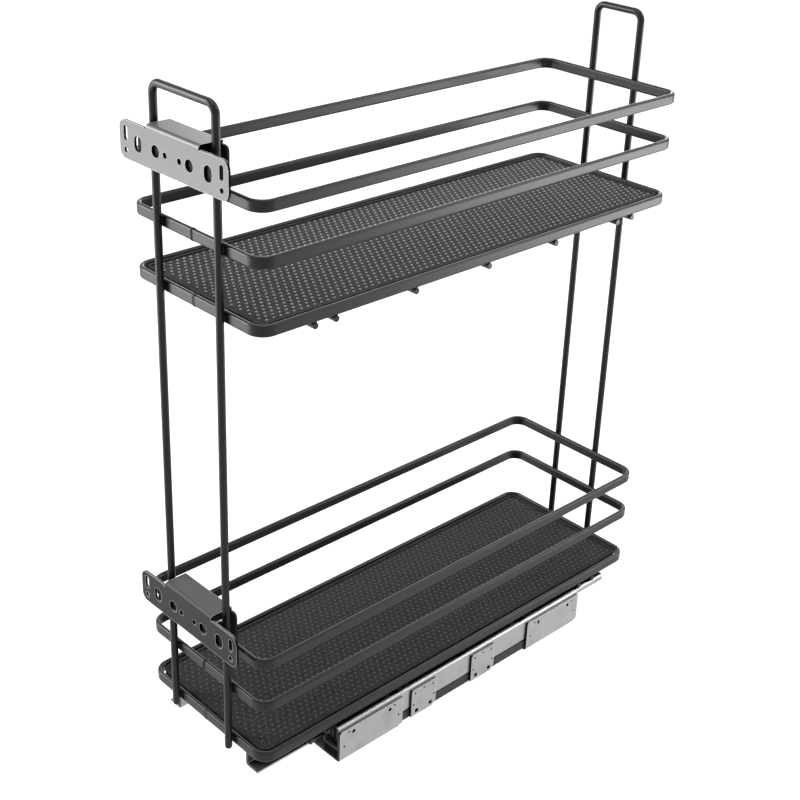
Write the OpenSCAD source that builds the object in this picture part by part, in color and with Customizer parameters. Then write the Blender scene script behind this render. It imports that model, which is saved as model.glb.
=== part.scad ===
// Narrow two-tier pull-out basket on floor-mounted ball-bearing runners, for a 200 mm base cabinet.
// Origin: on the cabinet floor, midway between the runners and midway along them.
// X runs across the cabinet, -Y is the way the basket pulls out, +Z is up.

/* [Basket] */
// Outer width of the basket's flat-wire rings
ring_w = 156; // [140:1:160]
// Outer depth of the rings, front to back
ring_d = 465; // [440:1:500]
// Height of the flat band that the rings are bent from
band_h = 9.5; // [8:0.5:10]
// Thickness of the band
band_t = 4; // [3:0.5:5]
// Outer radius of a ring's corners
ring_corner = 14; // [10:1:20]
// Height of the lower tray ring's top edge above the floor
lower_tray_top = 46; // [45:1:60]
// Height of the upper tray ring above the lower one
tier_pitch = 379.4; // [330:1:400]
// Height of the middle ring above its tray ring
middle_ring_rise = 51.2; // [40:1:60]
// Height of the top ring above its tray ring
top_ring_rise = 92.2; // [75:1:100]

/* [Round wire loops] */
// Diameter of the round wire of the two upright loops
post_d = 6.2; // [5:0.2:8]
// Distance between the two legs of the front loop
front_leg_gap = 73.2; // [66:1:80]
// Distance between the two legs of the rear loop
rear_leg_gap = 48.8; // [40:1:70]
// How far both loops rise over the upper top ring
loop_rise = 61.4; // [45:0.2:90]
// Radius of the loops' bends, on the wire's centre line
loop_bend = 8; // [6:1:14]
// How far the legs reach below the lower tray ring
leg_drop = 5; // [2:1:6]

/* [Tray] */
// Diameter of the wires that cross under each tray
cross_d = 5; // [4:0.5:5]
// Distance of the first pair's inner wire from the ring's end
pair_inset = 71; // [60:1:80]
// Distance between the two wires of a pair
pair_gap = 20; // [16:1:24]
// Height of the anti-slip mat
mat_h = 8; // [6:0.5:8]
// Gap between the mat and the ring all round
mat_gap = 2.5; // [1.5:0.5:4]
// Width of the mat's raised rim
mat_rim = 2.2; // [1.5:0.1:4]
// Height of the mat's rim over its field
mat_rim_h = 0.9; // [0.5:0.1:1.5]

/* [Door brackets] */
// Width of a door bracket
bracket_w = 128; // [120:1:140]
// Height of a door bracket's face
bracket_h = 29; // [28:1:34]
// Thickness of the bracket and clamp sheet
sheet_t = 2; // [1.5:0.5:2.5]
// Corner radius of the bracket's face
bracket_corner = 7; // [4:1:9]
// How far the bracket's face stands in front of the rings
bracket_offset = 14; // [13:0.5:17]
// Width of the bent-over top flange
flange_w = 62; // [54:1:64]
// How far the flange rises over the bracket's face
flange_rise = 3; // [2:0.5:4]
// Distance from the top ring's top edge down to the upper bracket's bottom edge
upper_bracket_drop = 1.2; // [1:0.2:8]
// The same distance for the lower bracket
lower_bracket_drop = 5.6; // [1:0.2:8]

/* [Runners] */
// Width over the outer faces of the side plates
runner_span = 168; // [167.8:0.1:168.2]
// Length of the fixed runner
runner_len = 308; // [300:1:320]
// How far the telescoping members stand back from the fixed runner's front
member_setback = 4; // [0.5:0.5:6]
// Length of the rubber buffer behind the members
buffer_len = 6.2; // [4:0.1:10]
// Full travel of the basket
travel = 350; // [250:1:350]
// Thickness of the side plates
plate_t = 2; // [1.5:0.5:2.5]
// Height of the long side plates
plate_h = 31; // [28:1:32]
// Length of a long side plate
long_plate_len = 73; // [66:1:78]
// Length of a short side plate
short_plate_len = 30; // [26:1:34]
// Width of the floor flange of a long side plate, over the plate
floor_flange_w = 36; // [34:1:38]
// Thickness of the rolled runner sheet
rail_t = 1.2; // [1.1:0.1:1.3]
// Outer width of the fixed channel
channel_w = 19; // [18.8:0.1:19.2]
// Height of the channel's floor above the cabinet floor
channel_z = 11.5; // [11:0.5:12]
// Height of the channel's outer wall top above the cabinet floor
channel_top = 35; // [34:0.5:35]
// Diameter of the outer rows of balls
outer_ball_d = 3; // [2.8:0.1:3.1]
// Diameter of the inner rows of balls
inner_ball_d = 2.4; // [2.2:0.1:2.5]
// Distance between two balls in a row
ball_pitch = 12; // [10:1:16]
// Length by which a ball cage is shorter than the members' overlap when pulled out
cage_slack = 15; // [13:1:30]

/* [Carriage] */
// Thickness of the carriage rails' sheet
carriage_t = 1.5; // [1.2:0.1:1.8]
// How far a carriage rail reaches inwards from the middle of its runner
carriage_reach = 26.5; // [25:0.5:30]
// Distance from the basket's front to the carriage rails' front
carriage_inset = 7.5; // [6:0.5:20]
// Length of a carriage rail
carriage_len = 423.5; // [410:0.5:430]
// Width of a rail's bottom lip
carriage_lip = 15.5; // [12:0.5:16]

/* [Hidden] */

$fn = 48;
// Overrun of every cut past the face that it leaves
cut = 1;
// Gap between two bodies that only pass each other
clear = 0.3;
// Gap between two pieces of one body that seat on each other
seat = 0.1;
// Radial gap of a ball in its groove and of a pin in its hole
fit = 0.05;

// Places of the basket along Y
basket_shift = 1;
basket_front = basket_shift - ring_d / 2;
basket_back = basket_front + ring_d;

// Heights of the rings' top edges
lower_ring_tops = [lower_tray_top, lower_tray_top + middle_ring_rise, lower_tray_top + top_ring_rise];
upper_ring_tops = [for (z = lower_ring_tops) z + tier_pitch];
band_edge = 1.9;

// Rings

// Section of the flat band, outer face at x = 0 and top at y = 0, long edges well rounded
module band_section() {
    inner = [band_t - 2 * band_edge, band_h - 2 * band_edge];
    translate([-band_t + band_edge, -band_h]) square([inner[0], band_h]);
    translate([-band_t, -band_h + band_edge]) square([band_t, inner[1]]);
    for (x = [-band_edge, -band_t + band_edge], y = [-band_edge, -band_h + band_edge])
        translate([x, y]) circle(band_edge);
}

module ring_bar(length) {
    translate([0, length / 2, 0]) rotate([90, 0, 0]) linear_extrude(length) band_section();
}

module ring_corner_bend() {
    rotate_extrude(angle = 90) translate([ring_corner, 0]) band_section();
}

module ring(top) {
    half_w = ring_w / 2;
    half_d = ring_d / 2;
    color("#3b3d40") translate([0, basket_shift, top]) {
        for (side = [0, 1]) rotate(180 * side) {
            translate([half_w, 0, 0]) ring_bar(ring_d - 2 * ring_corner);
            rotate(90) translate([half_d, 0, 0]) ring_bar(ring_w - 2 * ring_corner);
            translate([half_w - ring_corner, half_d - ring_corner, 0]) ring_corner_bend();
            translate([ring_corner - half_w, half_d - ring_corner, 0]) rotate(90) ring_corner_bend();
        }
    }
}

module upper_top_ring() { ring(upper_ring_tops[2]); }
module upper_middle_ring() { ring(upper_ring_tops[1]); }
module upper_tray_ring() { ring(upper_ring_tops[0]); }
module lower_top_ring() { ring(lower_ring_tops[2]); }
module lower_middle_ring() { ring(lower_ring_tops[1]); }
module lower_tray_ring() { ring(lower_ring_tops[0]); }

// Upright loops
leg_bottom = lower_tray_top - band_h - leg_drop;
loop_top = upper_ring_tops[2] + loop_rise;
post_r = post_d / 2;

// A loop of round wire with two legs, a bend on each and a bar across the top
module wire_loop(leg_gap) {
    bend_z = loop_top - post_r - loop_bend;
    color("#303235") {
        for (side = [-1, 1]) scale([side, 1, 1]) {
            translate([leg_gap / 2, 0, leg_bottom + post_r]) {
                cylinder(h = bend_z - leg_bottom - post_r, d = post_d);
                sphere(d = post_d);
            }
            translate([leg_gap / 2 - loop_bend, 0, bend_z]) rotate([90, 0, 0])
                rotate_extrude(angle = 90) translate([loop_bend, 0]) circle(d = post_d);
        }
        translate([loop_bend - leg_gap / 2, 0, loop_top - post_r]) rotate([0, 90, 0])
            cylinder(h = leg_gap - 2 * loop_bend, d = post_d);
    }
}

module front_loop() { translate([0, basket_front - post_r, 0]) wire_loop(front_leg_gap); }
module rear_loop() { translate([0, basket_back + post_r, 0]) wire_loop(rear_leg_gap); }

// Trays

// Places of the cross wires along Y: a pair near each end and three between them
pair_y = ring_d / 2 - pair_inset;
wire_places = [-pair_y - pair_gap, -pair_y, -pair_y / 2, 0, pair_y / 2, pair_y, pair_y + pair_gap];

module cross_wires(ring_top) {
    color("#303235") for (y = wire_places)
        translate([-ring_w / 2, basket_shift + y, ring_top - band_h - cross_d / 2]) rotate([0, 90, 0])
            cylinder(h = ring_w, d = cross_d);
}

module rounded_plate(size, radius, height) {
    linear_extrude(height) {
        square([size[0], size[1] - 2 * radius], center = true);
        square([size[0] - 2 * radius, size[1]], center = true);
        for (x = [-1, 1], y = [-1, 1])
            translate([x * (size[0] / 2 - radius), y * (size[1] / 2 - radius)]) circle(radius);
    }
}

// A board with an anti-slip face and a low rim, lying on the cross wires inside the tray ring
module mat(ring_top) {
    inset = band_t + mat_gap;
    size = [ring_w - 2 * inset, ring_d - 2 * inset];
    radius = ring_corner - inset;
    field = [size[0] - 2 * mat_rim, size[1] - 2 * mat_rim];
    color("#4a4b4d") translate([0, basket_shift, ring_top - band_h + clear]) difference() {
        rounded_plate(size, radius, mat_h);
        translate([0, 0, mat_h - mat_rim_h]) rounded_plate(field, radius - mat_rim, mat_rim_h + cut);
    }
}

module upper_cross_wires() { cross_wires(upper_ring_tops[0]); }
module lower_cross_wires() { cross_wires(lower_ring_tops[0]); }
module upper_mat() { mat(upper_ring_tops[0]); }
module lower_mat() { mat(lower_ring_tops[0]); }

// Door brackets
bracket_y = basket_front - bracket_offset;
upper_bracket_z = upper_ring_tops[2] - upper_bracket_drop;
lower_bracket_z = lower_ring_tops[2] - lower_bracket_drop;
flange_bend = 3;
notch_w = 1.6;
notch_h = 1;
flange_overhang = 0.8;
end_slot_x = 56.4;
end_slot = [4.6, 11.5];
end_slot_rise = 4.7;
end_hole_d = 4.6;
end_hole_drop = 7.8;
oval_x = 41.2;
oval = [9, 12.4];
big_hole_x = 19.9;
big_hole_d = 9.5;
small_hole_x = 8.5;
small_hole_d = 4.8;
clamp_w = 72;
clamp_shift = 3;
clamp_drop = 8;
clamp_corner = 4;
stud_x = 29;
stud_rise = 22;
stud_d = 5;
nut_h = 4;
nut_across = 8;
stud_end = 1.2;
jaw_w = 88;
jaw_h = 16;
jaw_rise = 3;

// The clamp plate's front face, just behind the ring's band
clamp_y = basket_front + band_t + seat;

// A hole of width w and height h with round ends, through a sheet that stands across Y
module upright_slot(w, h) {
    for (z = [-1, 1]) translate([0, 0, z * (h - w) / 2]) rotate([-90, 0, 0])
        translate([0, 0, -cut]) cylinder(h = sheet_t + 2 * cut, d = w);
    translate([-w / 2, -cut, -(h - w) / 2]) cube([w, sheet_t + 2 * cut, h - w]);
}

// Quarter of a bent sheet, in the first quadrant
module quarter_bend(outer, inner) {
    intersection() {
        difference() {
            circle(outer);
            circle(inner);
        }
        square(outer);
    }
}

// Bracket with its bottom edge at z = 0 and its outer face at y = 0
module bracket_body() {
    flange_top = bracket_h + flange_rise;
    flange_end = clamp_y + sheet_t + flange_overhang - bracket_y;
    difference() {
        translate([0, sheet_t, bracket_h / 2]) rotate([90, 0, 0])
            rounded_plate([bracket_w, bracket_h], bracket_corner, sheet_t);
        for (side = [-1, 1]) {
            translate([side * end_slot_x, 0, bracket_h / 2 + end_slot_rise]) upright_slot(end_slot[0], end_slot[1]);
            translate([side * end_slot_x, -cut, bracket_h / 2 - end_hole_drop]) rotate([-90, 0, 0])
                cylinder(h = sheet_t + 2 * cut, d = end_hole_d);
            translate([side * oval_x, 0, bracket_h / 2]) upright_slot(oval[0], oval[1]);
            translate([side * big_hole_x, -cut, bracket_h / 2]) rotate([-90, 0, 0])
                cylinder(h = sheet_t + 2 * cut, d = big_hole_d);
            translate([side * small_hole_x, -cut, bracket_h / 2]) rotate([-90, 0, 0])
                cylinder(h = sheet_t + 2 * cut, d = small_hole_d);
            translate([side * (flange_w + notch_w) / 2 - notch_w / 2, -cut, bracket_h - notch_h])
                cube([notch_w, sheet_t + 2 * cut, notch_h + cut]);
        }
    }
    translate([-flange_w / 2, 0, bracket_h - notch_h])
        cube([flange_w, sheet_t, notch_h + flange_rise - flange_bend]);
    translate([-flange_w / 2, flange_bend, flange_top - flange_bend]) rotate([90, 0, 90])
        linear_extrude(flange_w) mirror([1, 0]) quarter_bend(flange_bend, flange_bend - sheet_t);
    translate([-flange_w / 2, flange_bend, flange_top - sheet_t])
        cube([flange_w, flange_end - flange_bend, sheet_t]);
}

module door_bracket(z) {
    color("#9b9da0") translate([0, bracket_y, z]) bracket_body();
}

// Plate behind the top ring's front bar and under the flange's edge, which pulls the bracket and
// jaw onto the legs
module clamp_plate(z) {
    height = clamp_drop + bracket_h + flange_rise - sheet_t - seat;
    color("#303235") translate([0, clamp_y, z - clamp_drop]) difference() {
        translate([clamp_shift, sheet_t, height / 2]) rotate([90, 0, 0])
            rounded_plate([clamp_w, height], clamp_corner, sheet_t);
        for (side = [-1, 1]) translate([side * stud_x, -cut, clamp_drop + stud_rise]) rotate([-90, 0, 0])
            cylinder(h = sheet_t + 2 * cut, d = stud_d + 2 * seat);
    }
}

// Plastic jaw between the bracket's back and the front halves of the legs
module post_jaw(z) {
    depth = bracket_offset - sheet_t - post_r;
    color("#26282a") translate([0, bracket_y + sheet_t, z + jaw_rise]) difference() {
        translate([-jaw_w / 2, 0, 0]) cube([jaw_w, depth, jaw_h]);
        for (side = [-1, 1]) translate([side * front_leg_gap / 2, depth, -cut])
            cylinder(h = jaw_h + 2 * cut, d = post_d + 2 * seat);
    }
}

stud_back = sheet_t + nut_h + stud_end;

module clamp_studs(z) {
    start = bracket_y + sheet_t;
    color("#b5b7ba") for (side = [-1, 1]) translate([side * stud_x, start, z + stud_rise]) rotate([-90, 0, 0])
        cylinder(h = clamp_y + stud_back - start, d = stud_d);
}

module clamp_nuts(z) {
    color("#b5b7ba") for (side = [-1, 1])
        translate([side * stud_x, clamp_y + sheet_t, z + stud_rise]) rotate([-90, 0, 0]) difference() {
            cylinder(h = nut_h, d = nut_across / cos(30), $fn = 6);
            translate([0, 0, -cut]) cylinder(h = nut_h + 2 * cut, d = stud_d + 2 * fit);
        }
}

module upper_door_bracket() { door_bracket(upper_bracket_z); }
module upper_clamp_plate() { clamp_plate(upper_bracket_z); }
module upper_post_jaw() { post_jaw(upper_bracket_z); }
module upper_clamp_studs() { clamp_studs(upper_bracket_z); }
module upper_clamp_nuts() { clamp_nuts(upper_bracket_z); }
module lower_door_bracket() { door_bracket(lower_bracket_z); }
module lower_clamp_plate() { clamp_plate(lower_bracket_z); }
module lower_post_jaw() { post_jaw(lower_bracket_z); }
module lower_clamp_studs() { clamp_studs(lower_bracket_z); }
module lower_clamp_nuts() { clamp_nuts(lower_bracket_z); }

// Runner section, all x measured from the channel's middle
channel_x = runner_span / 2 - plate_t - channel_w / 2;
channel_inner_half = channel_w / 2 - rail_t;
channel_bend = 2.5;
channel_lip = 0.9;
lip_bend = 1.8;
inner_wall_top = 28.5;
groove = 0.4;
outer_ball_x = channel_inner_half + groove - outer_ball_d / 2 - fit;
outer_ball_z = 20.5;
middle_half = outer_ball_x - outer_ball_d / 2 + groove - fit;
middle_step = 1.6;
middle_z = channel_z + rail_t + middle_step;
middle_top = 23.4;
middle_bend = 1.8;
inner_groove = 0.35;
inner_ball_x = middle_half - rail_t + inner_groove - inner_ball_d / 2 - fit;
inner_ball_z = 18.2;
bar_half = inner_ball_x - inner_ball_d / 2 + inner_groove - fit;
bar_step = 1.4;
bar_z = middle_z + rail_t + bar_step;
cage_t = 0.8;
inner_cage_t = 0.6;
cage_lift = 0.4;
member_front = -runner_len / 2 + member_setback;
member_len = runner_len - member_setback - buffer_len - clear;
// A cage rolls a quarter of the travel and then stands at the fixed runner's front
cage_front = member_front + travel / 4;
cage_len = member_len - travel / 2 - cage_slack;
ball_count = floor((cage_len - outer_ball_d) / ball_pitch) + 1;
carriage_z = lower_tray_top - band_h - cross_d - seat;
carriage_web_z = carriage_z - carriage_t;

// Puts its children on the right runner for side 1 and mirrors them onto the left for side -1
module on_side(side) {
    scale([side, 1, 1]) translate([channel_x, 0, 0]) children();
}

// Extrudes a section drawn in x and z from y = front over length
module along(front, length) {
    translate([0, front + length, 0]) rotate([90, 0, 0]) linear_extrude(length) children();
}

// A folded U with its floor at y = 0, walls of two heights and rounded bends
module u_section(half, t, left_h, right_h, bend) {
    translate([bend - half, 0]) square([2 * (half - bend), t]);
    translate([half - t, bend]) square([t, right_h - bend]);
    translate([-half, bend]) square([t, left_h - bend]);
    translate([half - bend, bend]) rotate(-90) quarter_bend(bend, bend - t);
    translate([bend - half, bend]) rotate(180) quarter_bend(bend, bend - t);
}

// Fixed channel

module channel_section() {
    wall_top = channel_top - lip_bend;
    difference() {
        union() {
            translate([0, channel_z])
                u_section(channel_w / 2, rail_t, inner_wall_top - channel_z, wall_top - channel_z, channel_bend);
            translate([channel_w / 2 - lip_bend, wall_top]) quarter_bend(lip_bend, lip_bend - rail_t);
            translate([channel_w / 2 - rail_t - channel_lip, channel_top - rail_t])
                square([channel_lip + rail_t - lip_bend, rail_t]);
        }
        for (side = [-1, 1]) translate([side * outer_ball_x, outer_ball_z]) circle(outer_ball_d / 2 + fit);
    }
}

module channel(side) {
    color("#a9abad") on_side(side) along(-runner_len / 2, runner_len) channel_section();
}

// Inverted U under the channel that lifts it off the floor flanges
base_half = channel_w / 2 - seat;
base_t = 1.5;
base_bend = 2.2;
base_h = channel_z - plate_t;

// Corner cut off the profile's feet, which stand in the bends of the side plates
module foot_cut() {
    foot = plate_bend - plate_t;
    difference() {
        translate([-cut, -cut]) square(foot + cut);
        translate([foot, foot]) circle(foot);
    }
}

module base_section() {
    difference() {
        translate([0, channel_z]) mirror([0, 1]) u_section(base_half, base_t, base_h, base_h, base_bend);
        translate([-base_half, plate_t]) foot_cut();
        translate([base_half, plate_t]) mirror([1, 0]) foot_cut();
    }
}

module base_profile(side) {
    color("#4b4c4e") on_side(side) along(-runner_len / 2, runner_len) base_section();
}

// Black plugs in both ends of the base profile
plug_len = 12;

module plug_section() {
    half = base_half - base_t - seat;
    radius = base_bend - base_t;
    top = channel_z - base_t - seat;
    translate([-half, plate_t]) square([2 * half, top - radius - plate_t]);
    translate([radius - half, plate_t]) square([2 * (half - radius), top - plate_t]);
    for (way = [-1, 1]) translate([way * (half - radius), top - radius]) circle(radius);
}

module base_plugs(side) {
    color("#1b1b1c") on_side(side)
        for (front = [-runner_len / 2, runner_len / 2 - plug_len]) along(front, plug_len) plug_section();
}

// Side plates, drawn on the right side with their outer face at x = runner_span / 2
plate_corner = 2;
plate_chamfer = 4;
plate_bend = 3.2;
pin_hole_d = 2.2;
screw_hole_d = 3.8;
// Holes of a long plate: distance from its middle, height, diameter
long_plate_holes = [
    [31.5, 15, pin_hole_d], [26.4, 28, pin_hole_d], [21, 26, screw_hole_d],
    [-31.5, 15, pin_hole_d], [-26.4, 28, pin_hole_d], [-21, 26, screw_hole_d]];
// Holes of a short plate, in the same order
short_plate_holes = [
    [-10.8, 27.3, pin_hole_d], [0, 28.6, pin_hole_d], [10.8, 27.3, pin_hole_d],
    [-12.4, 15.3, pin_hole_d], [12.4, 15.3, pin_hole_d]];
short_plate_z = 3;
tab_hole = 4;
tab_hole_y = 8.5;
tab_hole_z = 7.5;
short_plate_inset = 98.75;
short_plate_pitch = 75.5;
floor_hole_d = 4.5;
floor_hole_inset = 26;
long_plate_y = (runner_len - long_plate_len) / 2;

// Outline of a side plate in y and z, front top corner rounded and rear bottom corner cut off
module plate_outline(length, bottom, top) {
    half = length / 2;
    difference() {
        translate([-half, bottom]) square([length, top - bottom]);
        translate([-half - cut, top - plate_corner]) difference() {
            square(plate_corner + cut);
            translate([plate_corner + cut, 0]) circle(plate_corner);
        }
        translate([half, bottom]) rotate(45) square(plate_chamfer * sqrt(2), center = true);
    }
}

module plate_wall(length, bottom, holes) {
    translate([runner_span / 2 - plate_t, 0, 0]) rotate([90, 0, 90]) linear_extrude(plate_t) difference() {
        plate_outline(length, bottom, plate_h);
        for (hole = holes) translate([hole[0], hole[1]]) circle(d = hole[2]);
    }
}

module long_plate() {
    flange_len = long_plate_len - plate_chamfer;
    corner_x = runner_span / 2 - plate_bend;
    difference() {
        plate_wall(long_plate_len, 0, long_plate_holes);
        translate([runner_span / 2 - plate_t - cut, -long_plate_len / 2 - cut, -cut])
            cube([plate_t + 2 * cut, long_plate_len + 2 * cut, plate_bend + cut]);
    }
    along(-long_plate_len / 2, flange_len) translate([corner_x, plate_bend]) rotate(-90)
        quarter_bend(plate_bend, plate_bend - plate_t);
    difference() {
        translate([runner_span / 2 - floor_flange_w, -long_plate_len / 2, 0])
            cube([floor_flange_w - plate_bend, flange_len, plate_t]);
        translate([runner_span / 2 - floor_hole_inset, 0, -cut]) cylinder(h = plate_t + 2 * cut, d = floor_hole_d);
    }
}

module front_plate(side) {
    color("#a3a5a7") scale([side, 1, 1]) translate([0, -long_plate_y, 0]) long_plate();
}

module rear_plate(side) {
    color("#a3a5a7") scale([side, 1, 1]) translate([0, long_plate_y, 0]) long_plate();
}

module short_plates(side) {
    color("#a3a5a7") scale([side, 1, 1]) for (n = [0, 1])
        translate([0, -runner_len / 2 + short_plate_inset + n * short_plate_pitch, 0]) difference() {
            plate_wall(short_plate_len, short_plate_z, short_plate_holes);
            for (y = [-tab_hole_y, tab_hole_y])
                translate([runner_span / 2 - plate_t - cut, y - tab_hole / 2, tab_hole_z - tab_hole / 2])
                    cube([plate_t + 2 * cut, tab_hole, tab_hole]);
        }
}

// Rubber block that closes the channel's rear end and stops the members
module buffer_section() {
    radius = channel_bend - rail_t;
    height = middle_top - channel_z;
    translate([-channel_inner_half, channel_z + rail_t + radius])
        square([2 * channel_inner_half, height - radius]);
    translate([radius - channel_inner_half, channel_z + rail_t])
        square([2 * (channel_inner_half - radius), height]);
    for (side = [-1, 1])
        translate([side * (channel_inner_half - radius), channel_z + rail_t + radius]) circle(radius);
}

module rear_buffer(side) {
    color("#202122") on_side(side) along(runner_len / 2 - buffer_len, buffer_len) buffer_section();
}

// Telescoping members

module middle_member(side) {
    color("#b4b6b8") on_side(side) along(member_front, member_len) difference() {
        translate([0, middle_z])
            u_section(middle_half, rail_t, middle_top - middle_z, middle_top - middle_z, middle_bend);
        for (row = [-1, 1]) {
            translate([row * outer_ball_x, outer_ball_z]) circle(outer_ball_d / 2 + fit);
            translate([row * inner_ball_x, inner_ball_z]) circle(inner_ball_d / 2 + fit);
        }
    }
}

rivet_d = 3;
rivet_head_d = 6;
rivet_head_h = 1.3;
// The rivets stand on both sides of the second and fourth of the evenly spaced wires
rivet_step = 12;
rivet_y = [for (wire = [-pair_y / 2, pair_y / 2], way = [-1, 1]) basket_shift + wire + way * rivet_step];

module slide_bar(side) {
    color("#b4b6b8") on_side(side) difference() {
        along(member_front, member_len) difference() {
            translate([0, carriage_web_z]) mirror([0, 1])
                u_section(bar_half, rail_t, carriage_web_z - bar_z, carriage_web_z - bar_z, middle_bend);
            for (row = [-1, 1]) translate([row * inner_ball_x, inner_ball_z]) circle(inner_ball_d / 2 + fit);
        }
        for (y = rivet_y) translate([0, y, carriage_web_z - rail_t - cut])
            cylinder(h = rail_t + 2 * cut, d = rivet_d + 2 * fit);
    }
}

// Balls of one cage, in two rows
module ball_rows(side, x, z, ball_d) {
    first = cage_front + (cage_len - (ball_count - 1) * ball_pitch) / 2;
    color("#c9cbcd") on_side(side) for (row = [-1, 1], n = [0 : ball_count - 1])
        translate([row * x, first + n * ball_pitch, z]) sphere(d = ball_d);
}

// Strip cage: a U that runs round the inner of the two members, with a hole for each ball
module cage(side, x, z, ball_d, floor_z, t) {
    first = cage_front + (cage_len - (ball_count - 1) * ball_pitch) / 2;
    top = z + ball_d;
    color("#8b8d8f") on_side(side) difference() {
        along(cage_front, cage_len) {
            translate([-x - t / 2, floor_z]) square([2 * x + t, t]);
            for (row = [-1, 1]) translate([row * x - t / 2, floor_z]) square([t, top - floor_z]);
        }
        for (row = [-1, 1], n = [0 : ball_count - 1]) translate([row * x, first + n * ball_pitch, z])
            rotate([0, 90, 0]) cylinder(h = t + 2 * cut, d = ball_d + 2 * seat, center = true);
    }
}

module outer_cage(side) {
    cage(side, outer_ball_x, outer_ball_z, outer_ball_d, channel_z + rail_t + cage_lift, cage_t);
}

module inner_cage(side) {
    cage(side, inner_ball_x, inner_ball_z, inner_ball_d, middle_z + rail_t + cage_lift, inner_cage_t);
}

// Carriage
rail_bend = 2.5;
rail_bottom = 14.6;
wing_front = member_front;
wing_drop = 5.5;

// C section of a carriage rail: web under the cross wires, wall and bottom lip
module carriage_section() {
    for (z = [carriage_web_z, rail_bottom])
        translate([rail_bend - carriage_reach, z]) square([carriage_lip - rail_bend, carriage_t]);
    translate([-carriage_reach, rail_bottom + rail_bend])
        square([carriage_t, carriage_z - rail_bottom - 2 * rail_bend]);
    translate([rail_bend - carriage_reach, carriage_z - rail_bend]) rotate(90)
        quarter_bend(rail_bend, rail_bend - carriage_t);
    translate([rail_bend - carriage_reach, rail_bottom + rail_bend]) rotate(180)
        quarter_bend(rail_bend, rail_bend - carriage_t);
}

// Wing of the web over the slide bar, bent down along the bar's outer face
module wing_section() {
    inner_x = carriage_lip - carriage_reach;
    edge = bar_half + seat + carriage_t;
    translate([inner_x, carriage_web_z]) square([edge - rail_bend - inner_x, carriage_t]);
    translate([edge - rail_bend, carriage_z - rail_bend]) quarter_bend(rail_bend, rail_bend - carriage_t);
    translate([edge - carriage_t, carriage_z - rail_bend - wing_drop + carriage_t])
        square([carriage_t, wing_drop - carriage_t]);
}

module carriage_rail(side) {
    rail_front = basket_front + carriage_inset;
    color("#a9abad") on_side(side) difference() {
        union() {
            along(rail_front, carriage_len) carriage_section();
            along(wing_front, rail_front + carriage_len - wing_front) wing_section();
        }
        for (y = rivet_y) translate([0, y, carriage_web_z - cut])
            cylinder(h = carriage_t + 2 * cut, d = rivet_d + 2 * fit);
    }
}

module rivets(side) {
    color("#c9cbcd") on_side(side) for (y = rivet_y) translate([0, y, 0]) {
        translate([0, 0, carriage_web_z - rail_t]) cylinder(h = carriage_t + rail_t, d = rivet_d);
        translate([0, 0, carriage_z]) cylinder(h = rivet_head_h, d = rivet_head_d);
    }
}

// Plastic clip gripped between the two wires of a pair, seated on the carriage web
clip_w = 12;
clip_x = channel_x - carriage_reach + carriage_lip / 2;

module tray_clips() {
    height = cross_d - seat;
    mid = pair_y + pair_gap / 2;
    color("#26282a") for (x = [-clip_x, clip_x], y = [-mid, mid])
        translate([x, basket_shift + y, carriage_z]) difference() {
            translate([-clip_w / 2, -pair_gap / 2, 0]) cube([clip_w, pair_gap, height]);
            for (side = [-1, 1]) translate([-clip_w / 2 - cut, side * pair_gap / 2, seat + cross_d / 2])
                rotate([0, 90, 0]) cylinder(h = clip_w + 2 * cut, d = cross_d + 2 * seat);
        }
}

module right_carriage_rail() { carriage_rail(1); }
module left_carriage_rail() { carriage_rail(-1); }
module right_slide_bar() { slide_bar(1); }
module left_slide_bar() { slide_bar(-1); }
module right_rivets() { rivets(1); }
module left_rivets() { rivets(-1); }
module right_middle_member() { middle_member(1); }
module left_middle_member() { middle_member(-1); }
module right_outer_cage() { outer_cage(1); }
module left_outer_cage() { outer_cage(-1); }
module right_outer_balls() { ball_rows(1, outer_ball_x, outer_ball_z, outer_ball_d); }
module left_outer_balls() { ball_rows(-1, outer_ball_x, outer_ball_z, outer_ball_d); }
module right_inner_cage() { inner_cage(1); }
module left_inner_cage() { inner_cage(-1); }
module right_inner_balls() { ball_rows(1, inner_ball_x, inner_ball_z, inner_ball_d); }
module left_inner_balls() { ball_rows(-1, inner_ball_x, inner_ball_z, inner_ball_d); }
module right_channel() { channel(1); }
module left_channel() { channel(-1); }
module right_base_profile() { base_profile(1); }
module left_base_profile() { base_profile(-1); }
module right_base_plugs() { base_plugs(1); }
module left_base_plugs() { base_plugs(-1); }
module right_front_plate() { front_plate(1); }
module left_front_plate() { front_plate(-1); }
module right_rear_plate() { rear_plate(1); }
module left_rear_plate() { rear_plate(-1); }
module right_short_plates() { short_plates(1); }
module left_short_plates() { short_plates(-1); }
module right_rear_buffer() { rear_buffer(1); }
module left_rear_buffer() { rear_buffer(-1); }

front_loop();
rear_loop();
upper_top_ring();
upper_middle_ring();
upper_tray_ring();
upper_cross_wires();
upper_mat();
lower_top_ring();
lower_middle_ring();
lower_tray_ring();
lower_cross_wires();
lower_mat();
upper_door_bracket();
upper_clamp_plate();
upper_post_jaw();
upper_clamp_studs();
upper_clamp_nuts();
lower_door_bracket();
lower_clamp_plate();
lower_post_jaw();
lower_clamp_studs();
lower_clamp_nuts();
right_carriage_rail();
left_carriage_rail();
tray_clips();
right_slide_bar();
left_slide_bar();
right_rivets();
left_rivets();
right_middle_member();
left_middle_member();
right_outer_cage();
left_outer_cage();
right_outer_balls();
left_outer_balls();
right_inner_cage();
left_inner_cage();
right_inner_balls();
left_inner_balls();
right_channel();
left_channel();
right_base_profile();
left_base_profile();
right_base_plugs();
left_base_plugs();
right_front_plate();
left_front_plate();
right_rear_plate();
left_rear_plate();
right_short_plates();
left_short_plates();
right_rear_buffer();
left_rear_buffer();
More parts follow.
